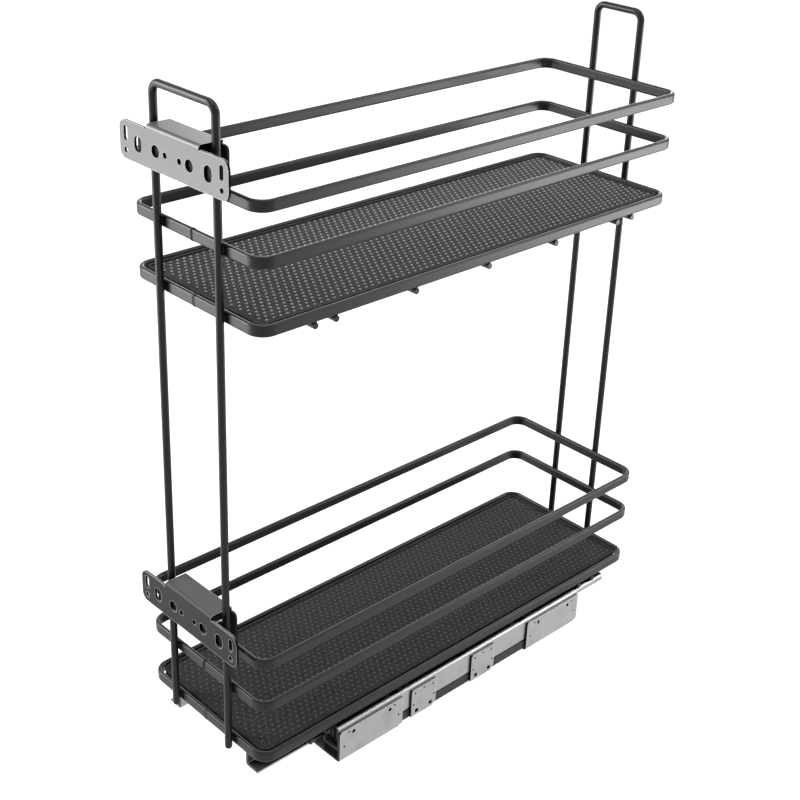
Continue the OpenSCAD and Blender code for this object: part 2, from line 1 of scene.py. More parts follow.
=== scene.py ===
"""A pull-out basket for a narrow kitchen cupboard: two railed trays of coated steel between two
upright wire loops, on a pair of telescopic runners, with punched brackets that carry the door."""
import math

import bmesh
import bpy
from mathutils import Matrix, Vector


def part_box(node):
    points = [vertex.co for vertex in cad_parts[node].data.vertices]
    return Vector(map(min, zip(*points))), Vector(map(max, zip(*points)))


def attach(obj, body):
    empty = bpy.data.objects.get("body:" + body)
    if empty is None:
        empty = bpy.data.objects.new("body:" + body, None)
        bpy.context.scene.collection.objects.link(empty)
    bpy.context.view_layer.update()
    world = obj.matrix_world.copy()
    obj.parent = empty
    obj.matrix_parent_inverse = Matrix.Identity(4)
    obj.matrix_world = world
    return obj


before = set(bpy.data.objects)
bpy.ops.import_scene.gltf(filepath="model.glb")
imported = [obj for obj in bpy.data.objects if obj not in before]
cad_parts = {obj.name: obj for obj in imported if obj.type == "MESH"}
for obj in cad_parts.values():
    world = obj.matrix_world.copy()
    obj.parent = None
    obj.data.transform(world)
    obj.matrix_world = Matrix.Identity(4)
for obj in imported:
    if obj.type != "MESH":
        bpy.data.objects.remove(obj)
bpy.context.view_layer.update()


# ---------------------------------------------------------------------------------------------
# Camera
# The photograph was taken from the front right, about 25 degrees above the object and half a
# metre over its middle, with the lens tilted down and the frame slightly turned.
azimuth, elevation, roll = (math.radians(a) for a in (45.728, 25.269, 2.211))
backward = Vector((
    math.sin(azimuth) * math.cos(elevation),
    -math.cos(azimuth) * math.cos(elevation),
    math.sin(elevation),
))
level_right = Vector((math.cos(azimuth), math.sin(azimuth), 0))
level_up = backward.cross(level_right)
right = level_right * math.cos(roll) + level_up * math.sin(roll)
up = level_up * math.cos(roll) - level_right * math.sin(roll)
lens = bpy.data.cameras.new("studio_camera")
lens.lens = 64.297
lens.sensor_width = 36
lens.shift_y = -0.07
lens.clip_start = 0.01
lens.clip_end = 100
camera = bpy.data.objects.new("studio_camera", lens)
turn = Matrix((right, up, backward)).transposed().to_4x4()
camera.matrix_world = Matrix.Translation((0.78604, -0.78602, 0.84068)) @ turn
bpy.context.scene.collection.objects.link(camera)
bpy.context.scene.camera = camera
bpy.context.scene.view_settings.view_transform = "Standard"


# ---------------------------------------------------------------------------------------------
# Studio
# White seamless paper. Large soft boxes stand to the camera's left, weaker ones to its right,
# behind the object and overhead. Low ones near the floor light the lower tray and the runner,
# and a small one at the right rear draws the bright line along the top edges.
def linear(hexa):
    """An sRGB hex colour as the linear colour that Blender's sockets take."""
    parts = (int(hexa[i:i + 2], 16) / 255 for i in (1, 3, 5))
    return [c / 12.92 if c <= 0.04045 else ((c + 0.055) / 1.055) ** 2.4 for c in parts] + [1]


def add(tree, kind, inputs=None, **settings):
    """Adds a node with its settings, and sets or links its inputs. They go by number where names
    repeat: 1 to 4 are the two ranges of a Map Range, and 6 and 7 the two colours of a Mix."""
    made = tree.nodes.new(kind)
    for name, value in settings.items():
        setattr(made, name, value)
    for name, value in (inputs or {}).items():
        if isinstance(value, bpy.types.NodeSocket):
            tree.links.new(value, made.inputs[name])
        else:
            made.inputs[name].default_value = value
    return made


def bare_tree(owner):
    """The emptied node tree of a world or a material."""
    owner.use_nodes = True
    owner.node_tree.nodes.clear()
    return owner.node_tree


def seen_directly(tree):
    """One for rays from the camera, from reflections and through glass, and nought for light."""
    rays = add(tree, "ShaderNodeLightPath")
    seen = rays.outputs["Is Camera Ray"]
    for kind in ("Is Glossy Ray", "Is Transmission Ray"):
        seen = add(tree, "ShaderNodeMath", {0: seen, 1: rays.outputs[kind]},
                   operation="MAXIMUM").outputs[0]
    return seen


world = bpy.data.worlds.new("pale_room")
bpy.context.scene.world = world
tree = bare_tree(world)
room = add(tree, "ShaderNodeBackground", {"Color": linear("#ffffff"), "Strength": 0.16})
paper = add(tree, "ShaderNodeBackground", {"Color": linear("#ffffff"), "Strength": 1.0})
mixed = add(tree, "ShaderNodeMixShader", {0: seen_directly(tree), 1: room.outputs[0],
                                          2: paper.outputs[0]})
add(tree, "ShaderNodeOutputWorld", {"Surface": mixed.outputs[0]})

# The floor reaches 15 m each way, and lies a hair below the plates that stand on it.
floor_reach, floor_height = 15.0, -0.0002
sheet = bpy.data.meshes.new("seamless_floor")
corners = ((-1, -1), (1, -1), (1, 1), (-1, 1))
sheet.from_pydata([(x * floor_reach, y * floor_reach, 0) for x, y in corners], [],
                  [(0, 1, 2, 3)])
floor = bpy.data.objects.new("seamless_floor", sheet)
floor.location.z = floor_height
bpy.context.scene.collection.objects.link(floor)

# White paper, lit so evenly that the eye sees neither its edge nor the object's shadow on it.
white_paper = bpy.data.materials.new("white_seamless_paper")
tree = bare_tree(white_paper)
share = add(tree, "ShaderNodeMath", {0: seen_directly(tree), 1: 0.96}, operation="MULTIPLY")
matt = add(tree, "ShaderNodeBsdfDiffuse", {"Color": linear("#a8a8a8")})
lit = add(tree, "ShaderNodeEmission", {"Color": linear("#ffffff"), "Strength": share.outputs[0]})
mixed = add(tree, "ShaderNodeAddShader", {0: matt.outputs[0], 1: lit.outputs[0]})
add(tree, "ShaderNodeOutputMaterial", {"Surface": mixed.outputs[0]})
sheet.materials.append(white_paper)

for name, place, aim, size, watts, spread in (
    ("left_box", (-1.6, -1.5, 0.95), (0, -0.1, 0.42), (0.9, 1.3), 52, 180),
    ("low_left_box", (-0.60, -0.86, 0.14), (0, -0.23, 0.52), (0.5, 0.35), 0.36, 60),
    ("low_right_box", (0.68, 0.94, 0.16), (0.078, 0.2, 0.45), (0.65, 0.4), 7.2, 180),
    ("right_box", (1.7, 1.8, 0.95), (0, 0, 0.3), (1.0, 1.3), 5, 180),
    ("back_box", (-1.35, 1.45, 0.95), (0, 0, 0.35), (1.2, 0.5), 11, 180),
    ("overhead_box", (0.0, 0.0, 2.6), (0, 0, 0.3), (1.6, 1.6), 22, 180),
    ("edge_box", (0.8, 1.28, 1.5), (0.05, 0, 0.3), (0.5, 0.5), 10, 180),
):
    lamp = bpy.data.lights.new(name, "AREA")
    lamp.shape = "RECTANGLE"
    lamp.size, lamp.size_y = size
    lamp.energy = watts
    lamp.spread = math.radians(spread)
    box = bpy.data.objects.new(name, lamp)
    box.location = place
    box.rotation_euler = (Vector(place) - Vector(aim)).to_track_quat("Z", "Y").to_euler()
    box.visible_camera = False
    bpy.context.scene.collection.objects.link(box)


# ---------------------------------------------------------------------------------------------
# Rings and tray rings
# Each rail is a flat steel band bent to a rounded rectangle, its ends butt welded at the middle
# of the front, then ground and powder coated in satin anthracite.
def dress(material, *names):
    """Gives CAD nodes one finish on all of their material slots."""
    for name in names:
        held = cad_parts[name].data.materials
        if not held:
            held.append(material)
        for i in range(len(held)):
            held[i] = material


# Powder coat: a satin anthracite skin with a very slight orange peel, which softens what it
# reflects, so the bands' rounded edges show as soft light lines. Here and below, the scale of a
# noise is one over the size of its patches in metres.
coat = bpy.data.materials.new("satin_anthracite_powder_coat")
tree = bare_tree(coat)
where = add(tree, "ShaderNodeTexCoord")
clouds = add(tree, "ShaderNodeTexNoise", {"Vector": where.outputs["Object"], "Scale": 1 / 0.055,
                                          "Detail": 2.0})
tint = add(tree, "ShaderNodeMix", {0: clouds.outputs["Fac"], 6: linear("#252526"),
                                   7: linear("#2c2c2d")}, data_type="RGBA")
coat_tint = tint.name
peel = add(tree, "ShaderNodeTexNoise", {"Vector": where.outputs["Object"], "Scale": 1 / 0.0011,
                                        "Detail": 1.0})
bump = add(tree, "ShaderNodeBump", {"Height": peel.outputs["Fac"], "Strength": 0.25,
                                    "Distance": 0.00006})
gloss = add(tree, "ShaderNodeMapRange", {"Value": clouds.outputs["Fac"], 3: 0.28, 4: 0.36})
skin = add(tree, "ShaderNodeBsdfPrincipled", {"Base Color": tint.outputs[2],
                                              "Roughness": gloss.outputs[0], "IOR": 1.45,
                                              "Specular IOR Level": 0.3,
                                              "Normal": bump.outputs[0]})
add(tree, "ShaderNodeOutputMaterial", {"Surface": skin.outputs[0]})
rings = [tier + ring for tier in ("upper_", "lower_")
         for ring in ("top_ring", "middle_ring", "tray_ring")]
dress(coat, *rings)


# ---------------------------------------------------------------------------------------------
# Upright loops and cross wires
# Two 6 mm round rods bent to long hairpins and welded to the outside of every ring, and seven
# 5 mm rods welded under each tray ring, on which the mats lie.
#
# The same powder coat, in a darker copy on the round rods, as painted shade for their dark core.
rod_coat = coat.copy()
rod_coat.name = "satin_anthracite_powder_coat_darkened_as_shade_on_rod"
rod_shade_tint = rod_coat.node_tree.nodes[coat_tint]
rod_shade_tint.inputs[6].default_value = linear("#131314")
rod_shade_tint.inputs[7].default_value = linear("#1a1a1b")
dress(rod_coat, "front_loop", "rear_loop", "upper_cross_wires", "lower_cross_wires")


# ---------------------------------------------------------------------------------------------
# Butt welds
# The two ends of each band meet at the middle of its front bar in a narrow weld, ground nearly
# flush before coating, which still shows as a faint raised line round the section. Those of the
# top rings are hidden between the brackets and their clamp plates, and aren't made.
def band_outline(thick, tall, edge, proud, steps=5):
    """Points round the band's section, with its rounded edges, standing proud by a little."""
    points = []
    for cx, cz, start in ((thick / 2 - edge, tall / 2 - edge, 0),
                          (edge - thick / 2, tall / 2 - edge, 90),
                          (edge - thick / 2, edge - tall / 2, 180),
                          (thick / 2 - edge, edge - tall / 2, 270)):
        for i in range(steps + 1):
            angle = math.radians(start + 90 * i / steps)
            points.append((cx + (edge + proud) * math.cos(angle),
                           cz + (edge + proud) * math.sin(angle)))
    return points


# Weld root: the groove left between the two ridges, which on the middle rings is painted black
# as shade in the groove.
weld_root = bpy.data.materials.new("weld_root_painted_shade")
tree = bare_tree(weld_root)
where = add(tree, "ShaderNodeTexCoord")
scale = add(tree, "ShaderNodeTexNoise", {"Vector": where.outputs["Object"], "Scale": 1 / 0.0005})
tint = add(tree, "ShaderNodeMix", {0: scale.outputs["Fac"], 6: linear("#070707"),
                                   7: linear("#131313")}, data_type="RGBA")
skin = add(tree, "ShaderNodeBsdfPrincipled", {"Base Color": tint.outputs[2], "Roughness": 0.8,
                                              "Specular IOR Level": 0.05})
add(tree, "ShaderNodeOutputMaterial", {"Surface": skin.outputs[0]})

MM = 0.001
band_thick, band_tall, band_edge = 4 * MM, 9.5 * MM, 1.9 * MM
seam_offset = 0.6 * MM
# The two ridges and the groove between them: the place along the band and the height, in mm.
ridges = ((-1.5, -0.02), (-1.1, 0.32), (-0.65, 0.32), (-0.4, 0.03), (0.4, 0.03), (0.65, 0.32),
          (1.1, 0.32), (1.5, -0.02))
groove_steps = (2, 3, 4)
for ring in rings:
    if ring.endswith("top_ring"):
        continue
    low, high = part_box(ring)
    middle = Vector((seam_offset, low.y + band_thick / 2, (low.z + high.z) / 2))
    weld = bmesh.new()
    loops = []
    for along, proud in ridges:
        loops.append([weld.verts.new(middle + Vector((along * MM, y, z)))
                      for y, z in band_outline(band_thick, band_tall, band_edge, proud * MM)])
    count = len(loops[0])
    for k, (first, second) in enumerate(zip(loops, loops[1:])):
        for i in range(count):
            made = weld.faces.new((first[i], first[(i + 1) % count],
                                   second[(i + 1) % count], second[i]))
            made.material_index = 1 if k in groove_steps and "middle" in ring else 0
    weld.faces.new(loops[0])
    weld.faces.new(loops[-1])
    bmesh.ops.recalc_face_normals(weld, faces=weld.faces)
    mesh = bpy.data.meshes.new(ring + "_butt_weld")
    weld.to_mesh(mesh)
    weld.free()
    mesh.shade_smooth()
    mesh.materials.append(coat)
    mesh.materials.append(weld_root)
    seam = bpy.data.objects.new(ring + "_butt_weld", mesh)
    bpy.context.scene.collection.objects.link(seam)
    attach(seam, "basket")


# ---------------------------------------------------------------------------------------------
# Weld beads
# Where a leg or a cross wire touches a ring, a small fillet of weld metal shows on both sides
# of the round wire. It is coated together with the basket.
beads_tree = bpy.data.node_groups.new("weld_beads", "GeometryNodeTree")
face = beads_tree.interface
face.new_socket("Geometry", in_out="OUTPUT", socket_type="NodeSocketGeometry")
face.new_socket("Places", in_out="INPUT", socket_type="NodeSocketGeometry")
bead_size = face.new_socket("Half size", in_out="INPUT", socket_type="NodeSocketVector").identifier
bead_finish = face.new_socket("Finish", in_out="INPUT", socket_type="NodeSocketMaterial").identifier
given = add(beads_tree, "NodeGroupInput")
blob = add(beads_tree, "GeometryNodeMeshIcoSphere", {"Radius": 1.0, "Subdivisions": 2})
lumpy = add(beads_tree, "FunctionNodeRandomValue", {2: 0.85, 3: 1.1, "Seed": 7})
shaped = add(beads_tree, "GeometryNodeTransform", {"Geometry": blob.outputs["Mesh"],
                                                   "Scale": given.outputs["Half size"]})
smooth = add(beads_tree, "GeometryNodeSetShadeSmooth", {"Geometry": shaped.outputs[0]})
laid = add(beads_tree, "GeometryNodeInstanceOnPoints",
           {"Points": given.outputs["Places"], "Instance": smooth.outputs[0],
            "Scale": lumpy.outputs[1]})
real = add(beads_tree, "GeometryNodeRealizeInstances", {"Geometry": laid.outputs[0]})
set_finish = add(beads_tree, "GeometryNodeSetMaterial", {"Geometry": real.outputs[0],
                                                         "Material": given.outputs["Finish"]})
add(beads_tree, "NodeGroupOutput", {0: set_finish.outputs[0]})


def grown(name, group, values, places=()):
    """The plain mesh object that a Geometry Nodes tree makes from named values and places."""
    start = bpy.data.meshes.new(name)
    start.from_pydata(list(places), [], [])
    made = bpy.data.objects.new(name, start)
    bpy.context.scene.collection.objects.link(made)
    maker = made.modifiers.new("maker", "NODES")
    maker.node_group = group
    for key, value in values.items():
        maker[key] = value
    bpy.context.view_layer.update()
    shape = bpy.data.meshes.new_from_object(
        made.evaluated_get(bpy.context.evaluated_depsgraph_get()))
    made.modifiers.clear()
    made.data = shape
    shape.name = name
    return made


post_wire, cross_wire = 6.2 * MM, 5.0 * MM
# Each bead sits a little to one side of its wire, partly sunk into the joint.
leg_bead_offset, wire_bead_offset, bead_sink = 1.5 * MM, 1.3 * MM, 0.45 * MM
leg_places = []
for loop, touch in (("front_loop", 1), ("rear_loop", -1)):
    low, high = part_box(loop)
    face_y = high.y if touch > 0 else low.y
    for leg in (low.x + post_wire / 2, high.x - post_wire / 2):
        for ring in rings:
            ring_low, ring_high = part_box(ring)
            for way in (-1, 1):
                leg_places.append((leg + way * leg_bead_offset, face_y - touch * bead_sink,
                                   (ring_low.z + ring_high.z) / 2))
leg_beads = grown("leg_weld_beads", beads_tree,
                  {bead_size: (1.15 * MM, 0.75 * MM, 3.0 * MM), bead_finish: coat}, leg_places)
wire_places = []
wire_pair_pitch = 20 * MM
for tier in ("upper_", "lower_"):
    low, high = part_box(tier + "cross_wires")
    middle_y = (low.y + high.y) / 2
    reach = (high.y - low.y - cross_wire) / 2
    steps = [reach, reach - wire_pair_pitch, (reach - wire_pair_pitch) / 2]
    for y in [0] + [way * step for step in steps for way in (-1, 1)]:
        for side in (-1, 1):
            for way in (-1, 1):
                wire_places.append((side * (high.x - band_thick / 2),
                                    middle_y + y + way * wire_bead_offset,
                                    high.z - bead_sink))
wire_beads = grown("cross_wire_weld_beads", beads_tree,
                   {bead_size: (1.7 * MM, 0.9 * MM, 0.6 * MM), bead_finish: coat}, wire_places)
for beads in (leg_beads, wire_beads):
    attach(beads, "basket")


# ---------------------------------------------------------------------------------------------
# Mats
# Two moulded trays of dark grey plastic with a low rim, which lie on the cross wires and lift
# out, and whose floors are covered with small raised dots against slipping.
#
# Moulded plastic: a fine leathery grain breaks the surface into darker and lighter specks. It is
# drawn a little coarser than the real one, so that it shows.
mat_plastic = bpy.data.materials.new("moulded_dark_grey_plastic")
tree = bare_tree(mat_plastic)
where = add(tree, "ShaderNodeTexCoord")
grain = add(tree, "ShaderNodeTexNoise", {"Vector": where.outputs["Object"], "Scale": 1 / 0.0019,
                                         "Detail": 3.0})
specks = add(tree, "ShaderNodeMapRange", {"Value": grain.outputs["Fac"], 1: 0.36, 2: 0.64})
tint = add(tree, "ShaderNodeMix", {0: specks.outputs[0], 6: linear("#2b2b2c"),
                                   7: linear("#434344")}, data_type="RGBA")
bump = add(tree, "ShaderNodeBump", {"Height": grain.outputs["Fac"], "Strength": 0.6,
                                    "Distance": 0.0002})
skin = add(tree, "ShaderNodeBsdfPrincipled", {"Base Color": tint.outputs[2], "Roughness": 0.7,
                                              "IOR": 1.5, "Specular IOR Level": 0.06,
                                              "Normal": bump.outputs[0]})
add(tree, "ShaderNodeOutputMaterial", {"Surface": skin.outputs[0]})

dots_tree = bpy.data.node_groups.new("raised_dots", "GeometryNodeTree")
face = dots_tree.interface
face.new_socket("Geometry", in_out="OUTPUT", socket_type="NodeSocketGeometry")
dot_inputs = {}
for title, value in (("Centre X", 0.0), ("Centre Y", 0.0), ("Height", 0.0), ("Column step", 0.01),
                     ("Row step", 0.006), ("Columns", 10), ("Rows", 10), ("Dot radius", 0.001),
                     ("Dot rise", 0.0006)):
    whole = isinstance(value, int)
    made = face.new_socket(title, in_out="INPUT",
                           socket_type="NodeSocketInt" if whole else "NodeSocketFloat")
    made.default_value = value
    dot_inputs[title] = made.identifier
finish_socket = face.new_socket("Finish", in_out="INPUT", socket_type="NodeSocketMaterial")
dot_inputs["Finish"] = finish_socket.identifier
given = add(dots_tree, "NodeGroupInput")
lattices = []
for shift in (0.0, 0.5):
    spans = []
    for count, step in (("Columns", "Column step"), ("Rows", "Row step")):
        less = add(dots_tree, "ShaderNodeMath", {0: given.outputs[count], 1: 1.0},
                   operation="SUBTRACT")
        span = add(dots_tree, "ShaderNodeMath", {0: less.outputs[0], 1: given.outputs[step]},
                   operation="MULTIPLY")
        spans.append(span)
    points = add(dots_tree, "GeometryNodeMeshGrid",
                 {"Size X": spans[0].outputs[0], "Size Y": spans[1].outputs[0],
                  "Vertices X": given.outputs["Columns"], "Vertices Y": given.outputs["Rows"]})
    shifts = []
    for centre, step in (("Centre X", "Column step"), ("Centre Y", "Row step")):
        moved = add(dots_tree, "ShaderNodeMath", {0: given.outputs[step], 1: shift - 0.25,
                                                  2: given.outputs[centre]},
                    operation="MULTIPLY_ADD")
        shifts.append(moved)
    where_to = add(dots_tree, "ShaderNodeCombineXYZ", {0: shifts[0].outputs[0],
                                                       1: shifts[1].outputs[0],
                                                       2: given.outputs["Height"]})
    lattices.append(add(dots_tree, "GeometryNodeTransform",
                        {"Geometry": points.outputs["Mesh"],
                         "Translation": where_to.outputs[0]}))
both = add(dots_tree, "GeometryNodeJoinGeometry")
for lattice in lattices:
    dots_tree.links.new(lattice.outputs[0], both.inputs[0])
ball = add(dots_tree, "GeometryNodeMeshUVSphere", {"Segments": 8, "Rings": 4, "Radius": 1.0})
form = add(dots_tree, "ShaderNodeCombineXYZ", {0: given.outputs["Dot radius"],
                                               1: given.outputs["Dot radius"],
                                               2: given.outputs["Dot rise"]})
shaped = add(dots_tree, "GeometryNodeTransform", {"Geometry": ball.outputs["Mesh"],
                                                  "Scale": form.outputs[0]})
smooth = add(dots_tree, "GeometryNodeSetShadeSmooth", {"Geometry": shaped.outputs[0]})
laid = add(dots_tree, "GeometryNodeInstanceOnPoints", {"Points": both.outputs[0],
                                                       "Instance": smooth.outputs[0]})
real = add(dots_tree, "GeometryNodeRealizeInstances", {"Geometry": laid.outputs[0]})
set_finish = add(dots_tree, "GeometryNodeSetMaterial", {"Geometry": real.outputs[0],
                                                        "Material": given.outputs["Finish"]})
add(dots_tree, "NodeGroupOutput", {0: set_finish.outputs[0]})

# Dots: the same plastic, with painted light in their tone. On the upper mat they are tall, smooth
# and painted paler as a highlight, so that each catches the light. On the lower mat they are low
# and painted as dark as the field as shade, and only just show.
mat_rim_rise = 0.9 * MM
columns, rows, column_step, row_step = 13, 70, 10.4 * MM, 6.3 * MM
for tier, radius, rise, dull, pale in (("upper_", 1.1, 0.9, "#929293", "#acacad"),
                                       ("lower_", 0.95, 0.45, "#3e3e3f", "#505051")):
    dot_plastic = bpy.data.materials.new(tier + "grey_plastic_dots_painted_light")
    tree = bare_tree(dot_plastic)
    where = add(tree, "ShaderNodeTexCoord")
    wear = add(tree, "ShaderNodeTexNoise", {"Vector": where.outputs["Object"],
                                            "Scale": 1 / 0.006, "Detail": 2.0})
    tint = add(tree, "ShaderNodeMix", {0: wear.outputs["Fac"], 6: linear(dull),
                                       7: linear(pale)}, data_type="RGBA")
    gloss = add(tree, "ShaderNodeMapRange", {"Value": wear.outputs["Fac"], 3: 0.42, 4: 0.28})
    skin = add(tree, "ShaderNodeBsdfPrincipled", {"Base Color": tint.outputs[2],
                                                  "Roughness": gloss.outputs[0], "IOR": 1.5})
    add(tree, "ShaderNodeOutputMaterial", {"Surface": skin.outputs[0]})
    dress(mat_plastic, tier + "mat")
    low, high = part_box(tier + "mat")
    sizes = {"Centre X": (low.x + high.x) / 2, "Centre Y": (low.y + high.y) / 2,
             "Height": high.z - mat_rim_rise, "Column step": column_step, "Row step": row_step,
             "Columns": columns, "Rows": rows, "Dot radius": radius * MM, "Dot rise": rise * MM,
             "Finish": dot_plastic}
    dots = grown(tier + "mat_dots", dots_tree, {dot_inputs[k]: v for k, v in sizes.items()})
    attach(dots, tier + "mat")


# ---------------------------------------------------------------------------------------------
# Door brackets
# Two punched and bent sheet steel brackets, whose slots take the screws of the cupboard's door
# front. Each is clamped to the legs of the front loop.
def painted_edge_highlight(tree, width):
    """One along the edges, over the given width, where a highlight is painted, and nought
    elsewhere.
    """
    rounded = add(tree, "ShaderNodeBevel", {"Radius": width}, samples=6)
    flat = add(tree, "ShaderNodeNewGeometry")
    lean = add(tree, "ShaderNodeVectorMath", {0: rounded.outputs[0], 1: flat.outputs["Normal"]},
               operation="DOT_PRODUCT")
    return add(tree, "ShaderNodeMapRange", {"Value": lean.outputs["Value"], 1: 0.995, 2: 0.9,
                                            3: 0.0, 4: 1.0}).outputs[0]


def facing(tree, axis, none, full):
    """How squarely a face looks along an axis of the object, either way, from nought to one."""
    flat = add(tree, "ShaderNodeNewGeometry")
    parts = add(tree, "ShaderNodeSeparateXYZ", {0: flat.outputs["True Normal"]})
    part = add(tree, "ShaderNodeMath", {0: parts.outputs[axis]}, operation="ABSOLUTE")
    return add(tree, "ShaderNodeMapRange", {"Value": part.outputs[0], 1: none,
                                            2: full}).outputs[0]


# Plated sheet: the upper bracket is satin zinc, and the lower one a dull dark copy painted as
# shade. On both the punched edges carry a painted highlight, the faces across X, the walls of the
# holes among them, are painted dark as shade, and the bent flange has painted light of its own:
# darker than the face on the upper bracket, lighter on the lower.
for tier, finish, tones, edge_width, metal, rough, sheen in (
        ("upper_", "satin_zinc_plate", ("#6e6e6e", "#767676", "#5e5e5e", "#d8d8d8"),
         0.7 * MM, 0.12, 0.4, 0.45),
        ("lower_", "dull_grey_copy_painted_as_shade", ("#272727", "#303030", "#606060", "#c4c4c4"),
         1.1 * MM, 0.0, 0.45, 0.14)):
    dull, pale, flange, bright = tones
    plate_steel = bpy.data.materials.new(tier + "bracket_" + finish)
    tree = bare_tree(plate_steel)
    where = add(tree, "ShaderNodeTexCoord")
    clouds = add(tree, "ShaderNodeTexNoise", {"Vector": where.outputs["Object"],
                                              "Scale": 1 / 0.02, "Detail": 3.0})
    tint = add(tree, "ShaderNodeMix", {0: clouds.outputs["Fac"], 6: linear(dull),
                                       7: linear(pale)}, data_type="RGBA")
    flange_painted_light = add(tree, "ShaderNodeMix", {0: facing(tree, "Z", 0.3, 0.9), 6: tint.outputs[2],
                                         7: linear(flange)}, data_type="RGBA")
    edged = add(tree, "ShaderNodeMix", {0: painted_edge_highlight(tree, edge_width), 6: flange_painted_light.outputs[2],
                                        7: linear(bright)}, data_type="RGBA")
    walls = facing(tree, "X", 0.3, 0.8)
    wall_painted_shade = add(tree, "ShaderNodeMix", {0: walls, 6: edged.outputs[2],
                                         7: linear("#0e0e0f")}, data_type="RGBA")
    wall_sheen = add(tree, "ShaderNodeMapRange", {"Value": walls, 3: sheen, 4: 0.02})
    fine = add(tree, "ShaderNodeTexNoise", {"Vector": where.outputs["Object"],
                                            "Scale": 1 / 0.0007, "Detail": 1.0})
    bump = add(tree, "ShaderNodeBump", {"Height": fine.outputs["Fac"], "Strength": 0.3,
                                        "Distance": 0.00004})
    skin = add(tree, "ShaderNodeBsdfPrincipled", {"Base Color": wall_painted_shade.outputs[2],
                                                  "Metallic": metal, "Roughness": rough,
                                                  "Specular IOR Level": wall_sheen.outputs[0],
                                                  "Normal": bump.outputs[0]})
    add(tree, "ShaderNodeOutputMaterial", {"Surface": skin.outputs[0]})
    dress(plate_steel, tier + "door_bracket")


# ---------------------------------------------------------------------------------------------
# Clamps
# Behind each bracket a plate and a jaw of thick sheet steel, coated black, grip the legs of the
# front loop. Two welded studs and their nuts, plated with bright zinc, draw them together.
#
# Black coat: thin and dull, so the clamps hardly show; their near black also serves as painted
# shade seen through the brackets' holes. The plastic clips under the lower tray look the same.
black_steel = bpy.data.materials.new("black_coated_steel")
tree = bare_tree(black_steel)
where = add(tree, "ShaderNodeTexCoord")
peel = add(tree, "ShaderNodeTexNoise", {"Vector": where.outputs["Object"], "Scale": 1 / 0.001,
                                        "Detail": 2.0})
tint = add(tree, "ShaderNodeMix", {0: peel.outputs["Fac"], 6: linear("#0c0c0d"),
                                   7: linear("#151516")}, data_type="RGBA")
bump = add(tree, "ShaderNodeBump", {"Height": peel.outputs["Fac"], "Strength": 0.3,
                                    "Distance": 0.00006})
skin = add(tree, "ShaderNodeBsdfPrincipled", {"Base Color": tint.outputs[2], "Roughness": 0.5,
                                              "Specular IOR Level": 0.12,
                                              "Normal": bump.outputs[0]})
add(tree, "ShaderNodeOutputMaterial", {"Surface": skin.outputs[0]})
dress(black_steel, "upper_clamp_plate", "lower_clamp_plate", "upper_post_jaw",
      "lower_post_jaw", "tray_clips")

# Bright zinc: a smooth, slightly clouded plating that mirrors softly.
bright_zinc = bpy.data.materials.new("bright_zinc_plate")
tree = bare_tree(bright_zinc)
where = add(tree, "ShaderNodeTexCoord")
clouds = add(tree, "ShaderNodeTexNoise", {"Vector": where.outputs["Object"], "Scale": 1 / 0.004,
                                          "Detail": 2.0})
tint = add(tree, "ShaderNodeMix", {0: clouds.outputs["Fac"], 6: linear("#b4b7ba"),
                                   7: linear("#c8cacc")}, data_type="RGBA")
skin = add(tree, "ShaderNodeBsdfPrincipled", {"Base Color": tint.outputs[2], "Metallic": 1.0,
                                              "Roughness": 0.28})
add(tree, "ShaderNodeOutputMaterial", {"Surface": skin.outputs[0]})
dress(bright_zinc, "upper_clamp_studs", "lower_clamp_studs", "upper_clamp_nuts",
      "lower_clamp_nuts")


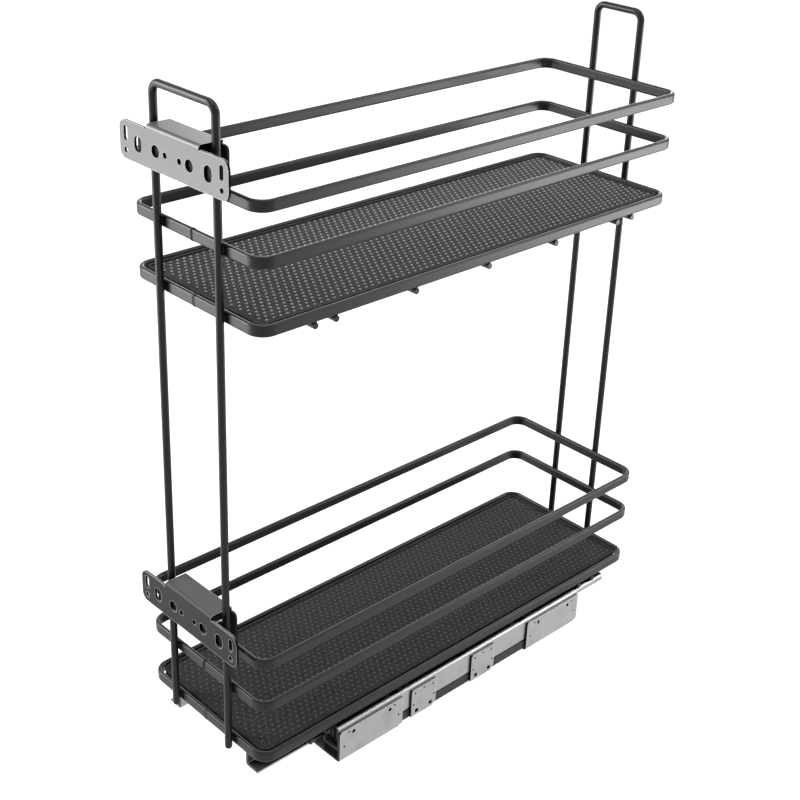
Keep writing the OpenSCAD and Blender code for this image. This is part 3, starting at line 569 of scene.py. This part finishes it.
# ---------------------------------------------------------------------------------------------
# Runners
# Rolled and bent galvanised sheet: the grooved channels and their side plates stay in the
# cupboard, and the middle members, the slide bars and the rails under the tray run out of them.
#
# Galvanised sheet: soft grey clouds, with a painted highlight along the edges and the ends across
# Y painted black as shade. Painted shade darkens the narrow gaps, and reaches furthest on the
# rails, which lie under the tray.
for steel, depth, parts in (
        ("sheet_steel", 3 * MM, ("channel", "front_plate", "rear_plate", "short_plates",
                                 "slide_bar", "middle_member")),
        ("rail_steel", 16 * MM, ("carriage_rail",))):
    galvanised = bpy.data.materials.new("galvanised_" + steel)
    tree = bare_tree(galvanised)
    where = add(tree, "ShaderNodeTexCoord")
    spangle = add(tree, "ShaderNodeTexVoronoi", {"Vector": where.outputs["Object"],
                                                 "Scale": 1 / 0.011, "Randomness": 1.0},
                  feature="SMOOTH_F1")
    clouds = add(tree, "ShaderNodeTexNoise", {"Vector": where.outputs["Object"], "Scale": 1 / 0.018,
                                              "Detail": 2.0})
    blend = add(tree, "ShaderNodeMath", {0: clouds.outputs["Fac"], 1: spangle.outputs["Distance"]},
                operation="ADD")
    tint = add(tree, "ShaderNodeMix", {0: blend.outputs[0], 6: linear("#8c8c8c"),
                                       7: linear("#a6a6a6")}, data_type="RGBA")
    edge = painted_edge_highlight(tree, 1.0 * MM)
    edged = add(tree, "ShaderNodeMix", {0: edge, 6: tint.outputs[2], 7: linear("#f4f4f4")},
                data_type="RGBA")
    ends_painted_shade = add(tree, "ShaderNodeMix", {0: facing(tree, "Y", 0.15, 0.4), 6: edged.outputs[2],
                                        7: linear("#0c0c0d")}, data_type="RGBA")
    crevice = add(tree, "ShaderNodeAmbientOcclusion", {"Distance": depth}, samples=6)
    painted_shade_mask = add(tree, "ShaderNodeMapRange", {"Value": crevice.outputs["AO"], 1: 0.45, 2: 0.8})
    shade_darkened = add(tree, "ShaderNodeMix", {0: painted_shade_mask.outputs[0], 6: linear("#141414"),
                                         7: ends_painted_shade.outputs[2]}, data_type="RGBA")
    gloss = add(tree, "ShaderNodeMapRange", {"Value": clouds.outputs["Fac"], 3: 0.26, 4: 0.38})
    metal = add(tree, "ShaderNodeMapRange", {"Value": edge, 3: 0.8, 4: 0.1})
    skin = add(tree, "ShaderNodeBsdfPrincipled", {"Base Color": shade_darkened.outputs[2],
                                                  "Metallic": metal.outputs[0],
                                                  "Roughness": gloss.outputs[0]})
    add(tree, "ShaderNodeOutputMaterial", {"Surface": skin.outputs[0]})
    for side in ("right_", "left_"):
        dress(galvanised, *(side + part for part in parts))


# ---------------------------------------------------------------------------------------------
# Base strips
# A hollow steel profile under each channel, painted dark grey, which keeps the runner off the
# cupboard's floor and carries the side plates.
#
# Dark paint: plain and matt, with the ends across Y and the corner under the channel painted
# black as shade.
dark_strip = bpy.data.materials.new("dark_grey_base_strip")
tree = bare_tree(dark_strip)
where = add(tree, "ShaderNodeTexCoord")
clouds = add(tree, "ShaderNodeTexNoise", {"Vector": where.outputs["Object"], "Scale": 1 / 0.01,
                                          "Detail": 2.0})
tint = add(tree, "ShaderNodeMix", {0: clouds.outputs["Fac"], 6: linear("#4a4a4a"),
                                   7: linear("#545454")}, data_type="RGBA")
ends_painted_shade = add(tree, "ShaderNodeMix", {0: facing(tree, "Y", 0.15, 0.4), 6: tint.outputs[2],
                                    7: linear("#0c0c0d")}, data_type="RGBA")
crevice = add(tree, "ShaderNodeAmbientOcclusion", {"Distance": 2 * MM}, samples=6)
painted_shade_mask = add(tree, "ShaderNodeMapRange", {"Value": crevice.outputs["AO"], 1: 0.5, 2: 0.8})
shade_darkened = add(tree, "ShaderNodeMix", {0: painted_shade_mask.outputs[0], 6: linear("#0c0c0d"),
                                     7: ends_painted_shade.outputs[2]}, data_type="RGBA")
skin = add(tree, "ShaderNodeBsdfPrincipled", {"Base Color": shade_darkened.outputs[2], "Roughness": 0.6,
                                              "Specular IOR Level": 0.1})
add(tree, "ShaderNodeOutputMaterial", {"Surface": skin.outputs[0]})
dress(dark_strip, "right_base_profile", "left_base_profile")


# ---------------------------------------------------------------------------------------------
# Cages, buffers and plugs
# Moulded black nylon: the strips that keep the balls apart, the stops at the rear of the
# runners, and the plugs in the ends of the base strips.
#
# Black nylon: matt, with a grain that is too fine to see but takes the shine off.
black_plastic = bpy.data.materials.new("black_nylon")
tree = bare_tree(black_plastic)
where = add(tree, "ShaderNodeTexCoord")
grain = add(tree, "ShaderNodeTexNoise", {"Vector": where.outputs["Object"], "Scale": 1 / 0.0008,
                                         "Detail": 2.0})
bump = add(tree, "ShaderNodeBump", {"Height": grain.outputs["Fac"], "Strength": 0.3,
                                    "Distance": 0.00006})
skin = add(tree, "ShaderNodeBsdfPrincipled", {"Base Color": linear("#0d0d0e"),
                                              "Roughness": 0.7, "Specular IOR Level": 0.03,
                                              "Normal": bump.outputs[0]})
add(tree, "ShaderNodeOutputMaterial", {"Surface": skin.outputs[0]})
for side in ("right_", "left_"):
    dress(black_plastic, side + "outer_cage", side + "inner_cage", side + "rear_buffer",
          side + "base_plugs")


# ---------------------------------------------------------------------------------------------
# Balls and rivets
# Hardened steel balls, which roll in the grooves between the members, and the zinc plated rivets
# that hold the rails on the slide bars.
#
# Ball steel: polished almost to a mirror, with a slight haze.
ball_steel = bpy.data.materials.new("polished_ball_steel")
tree = bare_tree(ball_steel)
where = add(tree, "ShaderNodeTexCoord")
haze = add(tree, "ShaderNodeTexNoise", {"Vector": where.outputs["Object"], "Scale": 1 / 0.002})
gloss = add(tree, "ShaderNodeMapRange", {"Value": haze.outputs["Fac"], 3: 0.08, 4: 0.16})
skin = add(tree, "ShaderNodeBsdfPrincipled", {"Base Color": linear("#d0d2d4"), "Metallic": 1.0,
                                              "Roughness": gloss.outputs[0]})
add(tree, "ShaderNodeOutputMaterial", {"Surface": skin.outputs[0]})
for side in ("right_", "left_"):
    dress(ball_steel, side + "outer_balls", side + "inner_balls")
    dress(bright_zinc, side + "rivets")
